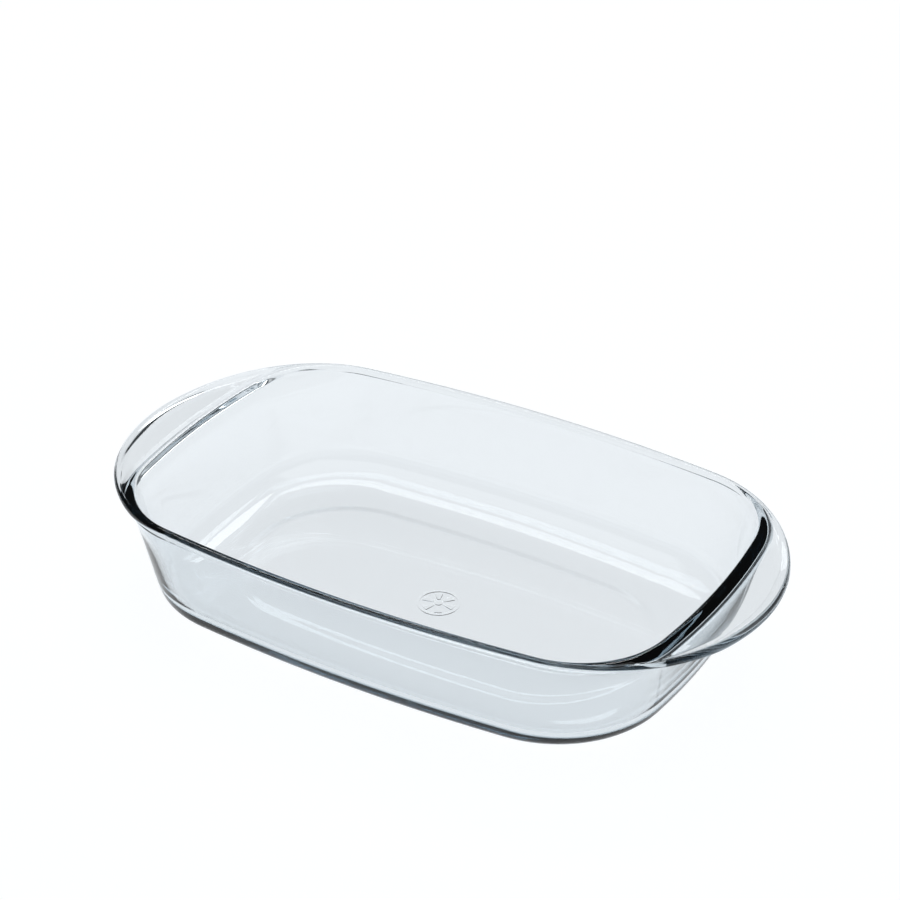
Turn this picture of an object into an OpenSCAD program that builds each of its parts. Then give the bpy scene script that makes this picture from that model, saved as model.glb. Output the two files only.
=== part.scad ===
// Clear glass roasting dish with two end handles, pressed in one piece.
// Millimetres. Z is up, X runs along the length, the dish stands on Z = 0
// and the middle of its base is at the origin.

/* [Overall size] */
// Length over both handles
length = 380; // [365:1:410]
// Width over the two long rims
width = 216; // [212:1:226]
// Height from the table to the top of the rim
height = 65; // [50:1:80]

/* [Opening] */
// Length of the opening, rim to rim
opening_length = 317; // [305:1:325]
// Width of the opening, rim to rim
opening_width = 205; // [198:1:206]
// Corner radius of the opening
opening_corner = 52; // [44:1:60]

/* [Base] */
// Length of the base before its lower edge is rounded
base_length = 300; // [292:1:306]
// Width of the base before its lower edge is rounded
base_width = 202; // [190:1:205]
// Corner radius of the base before its lower edge is rounded
base_corner = 67; // [60:1:72]
// Height of the oval rounding round the outside of the base
heel_rise = 13; // [10:0.5:15]
// Depth of that rounding along the long walls
heel_side = 32; // [24:0.5:34]
// Depth of that rounding along the end walls
heel_end = 24; // [18:0.5:26]
// Height of the oval rounding inside the base
fillet_rise = 14; // [10:0.5:17]
// Depth of that rounding along the long walls
fillet_side = 31; // [22:0.5:34]
// Depth of that rounding along the end walls
fillet_end = 23; // [16:0.5:26]
// Length of the shallow hollow under the base
hollow_length = 246; // [236:1:252]
// Width of the shallow hollow under the base
hollow_width = 126; // [120:1:132]
// Corner radius of the hollow
hollow_corner = 56; // [50:1:58]
// Depth of the hollow
hollow_depth = 0.6; // [0.4:0.1:1.5]

/* [Glass] */
// Thickness of the floor over the flat foot
floor_thick = 4.5; // [4:0.25:7]
// Wall thickness just under the rim
wall_top = 4; // [3:0.25:4.5]
// Wall thickness at the bottom of the wall
wall_base = 4.5; // [4:0.25:6]

/* [Rim and handles] */
// Width of the sloping ridge between the opening and a handle
ridge_width = 9; // [7:0.25:11]
// Depth of the handle face below the rim
handle_drop = 2.8; // [2:0.2:3.4]
// Thickness of the handle plate
handle_thick = 3.5; // [3:0.25:5]
// Width of the thick bead along the handle edge
bead_width = 7.5; // [5:0.25:9]
// Radius of the handle end
handle_end = 107; // [100:1:110]
// Radius of the handle shoulder
handle_shoulder = 79; // [70:1:85]

/* [Hidden] */

stations = 112;         // sections round the dish
station_crowding = 0.75; // closer sections on the straighter runs
arc_steps = 6;          // steps in each rounding at the base
end_bow = 400;          // slight outward bow of the two end walls
side_bow = 950;         // slight outward bow of the two long walls
rim_side_bow = 850;     // the same bow at the outer edge of the rim
rim_round = 1.6;        // rounding where the inner wall meets the rim
rim_depth = 4.4;        // depth of the rim roll on the long sides
hollow_slope = 8;       // width of the slope into the hollow under the base
hollow_bow = 160;       // bow of the two ends of the hollow
handle_blend = 16;      // growth in rim width over which a handle forms
glass_tint = [0.80, 0.88, 0.90, 0.45];

// An outline is four mirrored quarters, each made of three arcs that meet
// smoothly: a long side arc, a corner arc and an end arc.
function corner_centre(a, b, r, end_r, side_r) =
    let (side_c = [0, b - side_r],
         end_c = [a - end_r, 0],
         span = norm(end_c - side_c),
         e = (end_c - side_c) / span,
         reach = (pow(side_r - r, 2) - pow(end_r - r, 2) + span * span) / (2 * span),
         rise = sqrt(pow(side_r - r, 2) - reach * reach))
    side_c + e * reach + [e.y, -e.x] * rise;

function outline(a, b, r, end_r, side_r) =
    let (c = corner_centre(a, b, r, end_r, side_r))
    [[a - end_r, 0, end_r], [c.x, c.y, r], [0, b - side_r, side_r],
     atan2(c.y, c.x - a + end_r), atan2(c.y - b + side_r, c.x)];

opening = outline(opening_length / 2, opening_width / 2, opening_corner, end_bow, side_bow);
rim = outline(length / 2, width / 2, handle_shoulder, handle_end, rim_side_bow);
base = outline(base_length / 2, base_width / 2, base_corner, end_bow, side_bow);
hollow = outline(hollow_length / 2, hollow_width / 2, hollow_corner, hollow_bow, side_bow);

// Point of an outline where it faces the direction at angle psi.
function at(shape, psi) =
    let (u = abs(cos(psi)),
         v = abs(sin(psi)),
         fold = atan2(v, u),
         arc = fold < shape[3] ? shape[0] : fold < shape[4] ? shape[1] : shape[2])
    [sign(cos(psi)) * (arc.x + arc.z * u), sign(sin(psi)) * (arc.y + arc.z * v)];

function mix(a, b, t) = a * (1 - t) + b * t;
function smooth(t) = let (k = min(max(t, 0), 1)) k * k * (3 - 2 * k);
function lift(p, z) = [p.x, p.y, z];

// One side of the wall, from the flat of the base up to the rim, as a list
// of points. foot and head are the wall's ends before the base is rounded.
// The rounding is an oval that is rise high and width deep.
function wall(foot, head, out, z0, z1, rise, width) =
    let (stretch = width / rise,
         lean = atan2((head - foot) * out / stretch, z1 - z0),
         inset = rise * (1 - sin(lean)) / cos(lean),
         skew = (head - foot) - out * ((head - foot) * out))
    [for (k = [0 : arc_steps])
        let (a = (90 - lean) * k / arc_steps,
             up = rise * (1 - cos(a)),
             slide = stretch * (rise * sin(a) - inset))
        lift(foot + out * slide + skew * up / (z1 - z0), z0 + up)];

// The section through the glass at angle psi, from the middle of the floor
// over the rim and back under the base.
function section(psi) =
    let (out = [cos(psi), sin(psi)],
         edge = at(opening, psi),
         lip = at(rim, psi),
         heel = at(base, psi),
         head = edge + out * wall_top,
         reach = (lip - edge) * out,
         grip = smooth((reach - width / 2 + opening_width / 2) / handle_blend),
         ridge = min(ridge_width, 0.6 * reach),
         bead = min(bead_width, 0.3 * reach),
         toe = edge + out * ridge,
         brow = lip - out * bead,
         face = height - handle_drop,
         under = height - mix(rim_depth, handle_drop + handle_thick, grip))
    concat(
        wall(heel - out * wall_base, edge, out, floor_thick, height - rim_round,
             fillet_rise, mix(fillet_end, fillet_side, pow(out.y, 2))),
        [
            // ridge round the opening
            lift(edge, height - rim_round),
            lift(edge + out * mix(0.4, 0.6, grip), height - 0.5),
            lift(edge + out * mix(0.36 * ridge, 1.7, grip), height),
            lift(edge + out * mix(0.66 * ridge, 2.8, grip), height - mix(0, 0.15, grip)),
            lift(edge + out * mix(0.86 * ridge, 0.6 * ridge, grip),
                 height - mix(0, handle_drop * 0.45, grip)),
            lift(toe, mix(height - 0.1, face + 0.1, grip)),
            // handle face
            lift(mix(toe, brow, 0.08), mix(height - 0.1, face, grip)),
            lift(mix(toe, brow, 0.5), mix(height - 0.15, face - 0.4, grip)),
            lift(mix(toe, brow, 0.92), mix(height - 0.2, face - 0.2, grip)),
            // bead along the outer edge
            lift(brow, mix(height - 0.3, face - 0.2, grip)),
            lift(lip - out * bead * 0.72, mix(height - 0.5, face + 1.2, grip)),
            lift(lip - out * bead * 0.42, mix(height - 0.6, face + 1.5, grip)),
            lift(lip - out * bead * 0.1, mix(height - 1.3, face + 0.2, grip)),
            lift(lip, mix(height - 2.3, face - 1.4, grip)),
            lift(lip - out * bead * 0.1, mix(height - 3.3, face - 3, grip)),
            lift(lip - out * bead * 0.36, mix(height - 4.1, under + 0.1, grip)),
            // under the handle, back to the wall
            lift(mix(head, lip - out * bead * 0.9, mix(0.6, 0.96, grip)), under),
            lift(mix(head, lip, mix(0.2, 0.06, grip)), under - mix(0.6, 0.2, grip)),
            lift(head + out * mix(0, 0.3, grip), under - mix(1.2, 0.9, grip))
        ],
        // outside of the wall, from the handle root down and in to the foot
        reverse(wall(heel, head, out, 0, height,
                     heel_rise, mix(heel_end, heel_side, pow(out.y, 2)))),
        [
            lift(at(hollow, psi), 0),
            lift(at(hollow, psi) - out * hollow_slope, hollow_depth)
        ]);

function reverse(list) = [for (k = [len(list) - 1 : -1 : 0]) list[k]];

module baking_dish() {
    sections = [for (i = [0 : stations - 1])
        let (t = 360 * i / stations)
        section(t - station_crowding * 45 / PI * sin(4 * t))];
    rows = len(sections[0]);
    last = stations * rows;
    points = concat([for (s = sections) each s], [[0, 0, floor_thick], [0, 0, hollow_depth]]);
    faces = [for (i = [0 : stations - 1])
        let (here = i * rows,
             next = (i + 1) % stations * rows)
        each concat(
            [[last, here, next]],
            [for (k = [0 : rows - 2]) [here + k, here + k + 1, next + k + 1, next + k]],
            [[last + 1, next + rows - 1, here + rows - 1]])];
    color(glass_tint)
    polyhedron(points, faces, convexity = 4);
}

baking_dish();
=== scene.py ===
"""Clear pressed-glass roasting dish on a white table, in metres."""

import math

import bmesh
import bpy
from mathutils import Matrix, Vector


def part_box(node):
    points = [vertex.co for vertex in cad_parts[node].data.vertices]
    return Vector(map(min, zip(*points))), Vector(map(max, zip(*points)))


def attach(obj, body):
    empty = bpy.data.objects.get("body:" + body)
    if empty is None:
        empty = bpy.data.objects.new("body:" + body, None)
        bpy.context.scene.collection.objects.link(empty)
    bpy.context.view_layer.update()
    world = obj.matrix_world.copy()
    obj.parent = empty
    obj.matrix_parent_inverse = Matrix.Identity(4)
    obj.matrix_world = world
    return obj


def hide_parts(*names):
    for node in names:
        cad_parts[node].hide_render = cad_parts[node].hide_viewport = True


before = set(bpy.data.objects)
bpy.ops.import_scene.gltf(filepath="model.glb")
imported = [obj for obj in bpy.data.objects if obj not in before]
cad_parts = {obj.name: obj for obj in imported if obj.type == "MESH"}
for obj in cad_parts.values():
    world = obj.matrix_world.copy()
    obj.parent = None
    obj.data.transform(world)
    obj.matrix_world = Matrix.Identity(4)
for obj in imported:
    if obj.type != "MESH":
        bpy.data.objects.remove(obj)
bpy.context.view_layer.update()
dish_low, dish_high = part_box("baking_dish")

MM = 0.001
LENGTH = dish_high[0] - dish_low[0]
WIDTH = dish_high[1] - dish_low[1]
HEIGHT = dish_high[2] - dish_low[2]

# ---------------------------------------------------------------- dimensions
OPENING_LENGTH = 317 * MM
OPENING_WIDTH = 205 * MM
OPENING_CORNER = 52 * MM
BASE_LENGTH = 300 * MM
BASE_WIDTH = 202 * MM
BASE_CORNER = 67 * MM
HANDLE_END = 107 * MM
HANDLE_SHOULDER = 79 * MM
END_BOW = 400 * MM
SIDE_BOW = 950 * MM
RIM_SIDE_BOW = 850 * MM

HEEL_RISE = 13 * MM
HEEL_SIDE = 32 * MM
HEEL_END = 24 * MM
FILLET_RISE = 14 * MM
FILLET_SIDE = 31 * MM
FILLET_END = 23 * MM
HOLLOW_LENGTH = 246 * MM
HOLLOW_WIDTH = 126 * MM
HOLLOW_CORNER = 56 * MM
HOLLOW_BOW = 160 * MM
HOLLOW_DEPTH = 0.6 * MM
HOLLOW_SLOPE = 8 * MM
FLOOR_THICK = 4.5 * MM
WALL_TOP = 4 * MM
WALL_BASE = 4.5 * MM
RIM_ROUND = 1.6 * MM
RIM_DEPTH = 4.4 * MM
RIDGE_WIDTH = 9 * MM
HANDLE_DROP = 2.8 * MM
HANDLE_THICK = 3.5 * MM
BEAD_WIDTH = 7.5 * MM
HANDLE_BLEND = 16 * MM

STATIONS = 160        # sections round the dish, before smoothing
CROWDING = 0.75       # closer sections on the straighter runs
ARC_STEPS = 8         # steps in each rounding at the base
SMOOTHING = 2         # subdivision levels

# The rosette under the base is a round ring, six petals and a button. Their
# edges are shares of its radius.
MARK_RADIUS = 12 * MM
MARK_RELIEF = 0.18 * MM
MARK_OFFSET = Vector((0, -5 * MM))
MARK_STEPS = 20       # rings of points out to the radius
MARK_MARGIN = 5       # rings of points past it
MARK_PETALS = 6
MARK_RING = (0.86, 0.96)
MARK_PETAL = (0.3, 0.78)
MARK_BUTTON = 0.16

TABLE_GLOW = 0.985    # brightness of the table by itself
TABLE_HALF = (1.8, 1.8)
TABLE_GAP = 0.2 * MM  # space between the dish and the table
BAND_EDGE = (0.08, 0.14)  # height of the light band's soft edge, as the sine of its elevation

VIEW_AZIMUTH = 31.0
VIEW_ELEVATION = 32.5
VIEW_DISTANCE = 3.61 * LENGTH
VIEW_SPAN = 0.346     # width of the view over its distance
VIEW_SHIFT = (0.0073, 0.0567)
SENSOR = 36           # camera sensor width in millimetres


# ------------------------------------------------------------------ outlines
def outline(length, width, corner, end_bow, side_bow):
    """Three arcs that make a quarter of a rounded rectangle: end, corner, side.

    Each arc is (centre x, centre y, radius, angle at which the next begins).
    """
    side = Vector((0, width / 2 - side_bow))
    end = Vector((length / 2 - end_bow, 0))
    span = (end - side).length
    along = (end - side) / span
    r_side = side_bow - corner
    r_end = end_bow - corner
    reach = (r_side ** 2 - r_end ** 2 + span ** 2) / (2 * span)
    rise = math.sqrt(r_side ** 2 - reach ** 2)
    mid = side + along * reach + Vector((along.y, -along.x)) * rise
    end_angle = math.atan2(mid.y, mid.x - end.x)
    side_angle = math.atan2(mid.y - side.y, mid.x)
    return (
        (end.x, end.y, end_bow, end_angle),
        (mid.x, mid.y, corner, side_angle),
        (side.x, side.y, side_bow, math.pi),
    )


def at(shape, out):
    """Point of an outline where it faces the direction out."""
    fold = math.atan2(abs(out.y), abs(out.x))
    x, y, radius, _ = next(arc for arc in shape if fold < arc[3])
    return Vector((
        math.copysign(x + radius * abs(out.x), out.x),
        math.copysign(y + radius * abs(out.y), out.y),
    ))


OPENING = outline(OPENING_LENGTH, OPENING_WIDTH, OPENING_CORNER, END_BOW, SIDE_BOW)
RIM = outline(LENGTH, WIDTH, HANDLE_SHOULDER, HANDLE_END, RIM_SIDE_BOW)
BASE = outline(BASE_LENGTH, BASE_WIDTH, BASE_CORNER, END_BOW, SIDE_BOW)
HOLLOW = outline(HOLLOW_LENGTH, HOLLOW_WIDTH, HOLLOW_CORNER, HOLLOW_BOW, SIDE_BOW)


# ------------------------------------------------------------------- section
def mix(a, b, t):
    return a * (1 - t) + b * t


def smooth(t):
    t = min(max(t, 0), 1)
    return t * t * (3 - 2 * t)


def lift(point, z):
    return Vector((point.x, point.y, z))


def wall(foot, head, out, low, high, rise, width):
    """One face of the wall, from the flat of the base up to the rim.

    Its lower end is an oval rounding that is rise high and width deep.
    """
    stretch = width / rise
    lean = math.atan2((head - foot).dot(out) / stretch, high - low)
    inset = rise * (1 - math.sin(lean)) / math.cos(lean)
    skew = (head - foot) - out * (head - foot).dot(out)
    points = []
    for step in range(ARC_STEPS + 1):
        angle = (math.pi / 2 - lean) * step / ARC_STEPS
        up = rise * (1 - math.cos(angle))
        slide = out * stretch * (rise * math.sin(angle) - inset)
        points.append(lift(foot + slide + skew * up / (high - low), low + up))
    last = points[-1]
    top = lift(head, high)
    points += [mix(last, top, t) for t in (0.25, 0.5, 0.75)]
    return points


def section(psi):
    """The cut through the glass that faces the angle psi.

    It runs from the middle of the floor, over the rim, to the middle of the base.
    The share grip is 0 on the long sides and 1 where the rim is a full handle.
    """
    out = Vector((math.cos(psi), math.sin(psi)))
    edge = at(OPENING, out)
    lip = at(RIM, out)
    heel = at(BASE, out)
    head = edge + out * WALL_TOP
    reach = (lip - edge).dot(out)
    grip = smooth((reach - (WIDTH - OPENING_WIDTH) / 2) / HANDLE_BLEND)
    ridge = min(RIDGE_WIDTH, 0.6 * reach)
    bead = min(BEAD_WIDTH, 0.3 * reach)
    toe = edge + out * ridge
    brow = lip - out * bead
    face = HEIGHT - HANDLE_DROP
    under = HEIGHT - mix(RIM_DEPTH, HANDLE_DROP + HANDLE_THICK, grip)

    def level(side, handle):
        """Height that changes from the long rim to the handle."""
        return mix(HEIGHT - side * MM, handle, grip)

    foot = wall(heel - out * WALL_BASE, edge, out,
                FLOOR_THICK, HEIGHT - RIM_ROUND,
                FILLET_RISE, mix(FILLET_END, FILLET_SIDE, out.y ** 2))
    floor = [lift(foot[0].to_2d() * t, FLOOR_THICK) for t in (0.02, 0.35, 0.7, 0.93)]
    ridge_face = [
        lift(edge, HEIGHT - RIM_ROUND),
        lift(edge + out * mix(0.4 * MM, 0.6 * MM, grip), HEIGHT - 0.5 * MM),
        lift(edge + out * mix(0.36 * ridge, 1.7 * MM, grip), HEIGHT),
        lift(edge + out * mix(0.66 * ridge, 2.8 * MM, grip), level(0, HEIGHT - 0.15 * MM)),
        lift(edge + out * mix(0.86 * ridge, 0.6 * ridge, grip),
             level(0, HEIGHT - HANDLE_DROP * 0.45)),
        lift(toe, level(0.1, face + 0.1 * MM)),
    ]
    handle_face = [
        lift(mix(toe, brow, 0.08), level(0.1, face)),
        lift(mix(toe, brow, 0.5), level(0.15, face - 0.4 * MM)),
        lift(mix(toe, brow, 0.92), level(0.2, face - 0.2 * MM)),
    ]
    bead_face = [
        lift(brow, level(0.3, face - 0.2 * MM)),
        lift(lip - out * bead * 0.87, level(0.4, face + 0.5 * MM)),
        lift(lip - out * bead * 0.72, level(0.5, face + 1.3 * MM)),
        lift(lip - out * bead * 0.42, level(0.6, face + 1.6 * MM)),
        lift(lip - out * bead * 0.1, level(1.3, face + 0.3 * MM)),
        lift(lip, level(2.3, face - 1.4 * MM)),
        lift(lip - out * bead * 0.1, level(3.3, face - 3.0 * MM)),
        lift(lip - out * bead * 0.36, level(4.1, under + 0.1 * MM)),
    ]
    root = [
        lift(mix(head, lip - out * bead * 0.9, mix(0.6, 0.96, grip)), under),
        lift(mix(head, lip, mix(0.2, 0.06, grip)), under - mix(0.6, 0.2, grip) * MM),
        lift(head + out * mix(0, 0.3 * MM, grip), under - mix(1.2, 0.9, grip) * MM),
    ]
    outside = wall(heel, head, out, 0, HEIGHT,
                   HEEL_RISE, mix(HEEL_END, HEEL_SIDE, out.y ** 2))[::-1]
    hollow = at(HOLLOW, out)
    below = [
        lift(hollow - out * HOLLOW_SLOPE * t, HOLLOW_DEPTH * smooth(t))
        for t in (-0.1, 0, 0.2, 0.5, 0.8, 1, 1.1)
    ]
    below.append(lift(hollow * 0.5, HOLLOW_DEPTH))
    return floor + foot + ridge_face + handle_face + bead_face + root + outside + below + mark(out)


def mark(out):
    """Rings of points under the base that carry a small raised rosette."""
    on_petal = math.cos(MARK_PETALS * math.atan2(out.y, out.x)) > 0.1
    rings = []
    for step in range(MARK_STEPS + MARK_MARGIN, 0, -1):
        radius = MARK_RADIUS * step / MARK_STEPS
        t = radius / MARK_RADIUS
        in_ring = MARK_RING[0] < t < MARK_RING[1]
        in_petal = MARK_PETAL[0] < t < MARK_PETAL[1] and on_petal
        raised = in_ring or in_petal or t < MARK_BUTTON
        depth = HOLLOW_DEPTH - MARK_RELIEF * raised
        rings.append(lift(MARK_OFFSET + out * radius, depth))
    return rings


def dish_mesh():
    mesh = bmesh.new()
    columns = []
    for index in range(STATIONS):
        turn = 2 * math.pi * index / STATIONS
        psi = turn - CROWDING / 4 * math.sin(4 * turn)
        columns.append([mesh.verts.new(point) for point in section(psi)])
    for here, after in zip(columns, columns[1:] + columns[:1]):
        for row in range(len(here) - 1):
            mesh.faces.new((here[row], after[row], after[row + 1], here[row + 1]))
    mesh.faces.new([column[0] for column in columns])
    mesh.faces.new([column[-1] for column in columns])
    bmesh.ops.recalc_face_normals(mesh, faces=mesh.faces[:])
    for face in mesh.faces:
        face.smooth = True
    data = bpy.data.meshes.new("dish_glass")
    mesh.to_mesh(data)
    mesh.free()
    return data


# ----------------------------------------------------------------- materials
def empty_tree(owner):
    """The nodes and links of a material or world, with its default nodes removed."""
    owner.use_nodes = True
    owner.node_tree.nodes.clear()
    return owner.node_tree.nodes, owner.node_tree.links


def clear_glass():
    """Slightly cool ovenproof glass with the faint waviness of a pressing."""
    material = bpy.data.materials.new("clear_glass")
    nodes, links = empty_tree(material)
    output = nodes.new("ShaderNodeOutputMaterial")
    glass = nodes.new("ShaderNodeBsdfGlass")
    glass.inputs["Color"].default_value = (0.945, 0.958, 0.966, 1)
    glass.inputs["Roughness"].default_value = 0.0
    glass.inputs["IOR"].default_value = 1.47
    links.new(glass.outputs["BSDF"], output.inputs["Surface"])

    place = nodes.new("ShaderNodeTexCoord")
    ripple = nodes.new("ShaderNodeTexNoise")
    ripple.inputs["Scale"].default_value = 22
    ripple.inputs["Detail"].default_value = 0.5
    bump = nodes.new("ShaderNodeBump")
    bump.inputs["Strength"].default_value = 0.03
    bump.inputs["Distance"].default_value = 0.0015
    links.new(place.outputs["Object"], ripple.inputs["Vector"])
    links.new(ripple.outputs["Fac"], bump.inputs["Height"])
    links.new(bump.outputs["Normal"], glass.inputs["Normal"])

    tint = nodes.new("ShaderNodeVolumeAbsorption")
    tint.inputs["Color"].default_value = (0.40, 0.50, 0.56, 1)
    tint.inputs["Density"].default_value = 16.0
    links.new(tint.outputs["Volume"], output.inputs["Volume"])
    return material


def table_white():
    """Pale table top that glows evenly and also takes some light from above."""
    material = bpy.data.materials.new("table_white")
    nodes, links = empty_tree(material)
    output = nodes.new("ShaderNodeOutputMaterial")
    both = nodes.new("ShaderNodeAddShader")
    glow = nodes.new("ShaderNodeEmission")
    glow.inputs["Color"].default_value = (0.965, 0.982, 1.0, 1)
    glow.inputs["Strength"].default_value = TABLE_GLOW
    matt = nodes.new("ShaderNodeBsdfDiffuse")
    matt.inputs["Color"].default_value = (0.15, 0.15, 0.15, 1)
    links.new(glow.outputs["Emission"], both.inputs[0])
    links.new(matt.outputs["BSDF"], both.inputs[1])
    links.new(both.outputs["Shader"], output.inputs["Surface"])
    return material


# --------------------------------------------------------------------- stage
def table():
    x, y = TABLE_HALF
    top = bpy.data.meshes.new("table")
    top.from_pydata([(-x, -y, 0), (x, -y, 0), (x, y, 0), (-x, y, 0)], [], [(0, 1, 2, 3)])
    top.materials.append(table_white())
    piece = bpy.data.objects.new("table", top)
    bpy.context.collection.objects.link(piece)
    piece.location.z = -TABLE_GAP


def room():
    """A dark room with a light band at eye level, behind a white backdrop.

    The dark part is what the glass edges show. The light band keeps the walls
    clear when the dish is seen from low down.
    """
    world = bpy.data.worlds.new("room")
    bpy.context.scene.world = world
    nodes, links = empty_tree(world)
    output = nodes.new("ShaderNodeOutputWorld")
    choice = nodes.new("ShaderNodeMixShader")
    path = nodes.new("ShaderNodeLightPath")
    surround = nodes.new("ShaderNodeMixShader")
    place = nodes.new("ShaderNodeTexCoord")
    split = nodes.new("ShaderNodeSeparateXYZ")
    height = nodes.new("ShaderNodeMath")
    height.operation = "ABSOLUTE"
    fade = nodes.new("ShaderNodeMapRange")
    fade.inputs["From Min"].default_value = BAND_EDGE[0]
    fade.inputs["From Max"].default_value = BAND_EDGE[1]
    band = nodes.new("ShaderNodeBackground")
    band.inputs["Color"].default_value = (0.90, 0.93, 0.96, 1)
    dark = nodes.new("ShaderNodeBackground")
    dark.inputs["Color"].default_value = (0.06, 0.064, 0.068, 1)
    backdrop = nodes.new("ShaderNodeBackground")
    backdrop.inputs["Strength"].default_value = 1.4
    links.new(place.outputs["Generated"], split.inputs["Vector"])
    links.new(split.outputs["Z"], height.inputs[0])
    links.new(height.outputs[0], fade.inputs["Value"])
    links.new(fade.outputs["Result"], surround.inputs["Fac"])
    links.new(band.outputs["Background"], surround.inputs[1])
    links.new(dark.outputs["Background"], surround.inputs[2])
    links.new(path.outputs["Is Camera Ray"], choice.inputs["Fac"])
    links.new(surround.outputs["Shader"], choice.inputs[1])
    links.new(backdrop.outputs["Background"], choice.inputs[2])
    links.new(choice.outputs["Shader"], output.inputs["Surface"])


def softbox(name, place, size, power):
    """A soft rectangular light aimed at the dish."""
    light = bpy.data.lights.new(name, "AREA")
    light.shape = "RECTANGLE"
    light.size, light.size_y = size
    light.energy = power
    lamp = bpy.data.objects.new(name, light)
    bpy.context.collection.objects.link(lamp)
    lamp.location = place
    lamp.rotation_euler = Vector(place).to_track_quat("Z", "Y").to_euler()


def camera():
    data = bpy.data.cameras.new("camera")
    data.sensor_width = SENSOR
    data.lens = SENSOR / VIEW_SPAN
    data.shift_x, data.shift_y = VIEW_SHIFT
    data.clip_end = 100
    eye = bpy.data.objects.new("camera", data)
    bpy.context.collection.objects.link(eye)
    azimuth = math.radians(VIEW_AZIMUTH)
    elevation = math.radians(VIEW_ELEVATION)
    back = Vector((
        math.sin(azimuth) * math.cos(elevation),
        -math.cos(azimuth) * math.cos(elevation),
        math.sin(elevation),
    ))
    eye.location = Vector((0, 0, HEIGHT)) + back * VIEW_DISTANCE
    eye.rotation_euler = back.to_track_quat("Z", "Y").to_euler()
    bpy.context.scene.camera = eye


# --------------------------------------------------------------------- build
dish = bpy.data.objects.new("dish_glass", dish_mesh())
bpy.context.collection.objects.link(dish)
dish.data.materials.append(clear_glass())
rounding = dish.modifiers.new("rounding", "SUBSURF")
rounding.levels = SMOOTHING
rounding.render_levels = SMOOTHING
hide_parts("baking_dish")
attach(dish, "root")

table()
room()
softbox("overhead", place=(0, 0.2, 1.8), size=(2.0, 1.4), power=6)
softbox("behind", place=(-1.10, 1.83, 2.35), size=(2.0, 0.5), power=13)
camera()

scene = bpy.context.scene
scene.view_settings.view_transform = "Standard"
scene.cycles.max_bounces = 32
scene.cycles.transmission_bounces = 32
scene.cycles.glossy_bounces = 16
scene.cycles.diffuse_bounces = 4
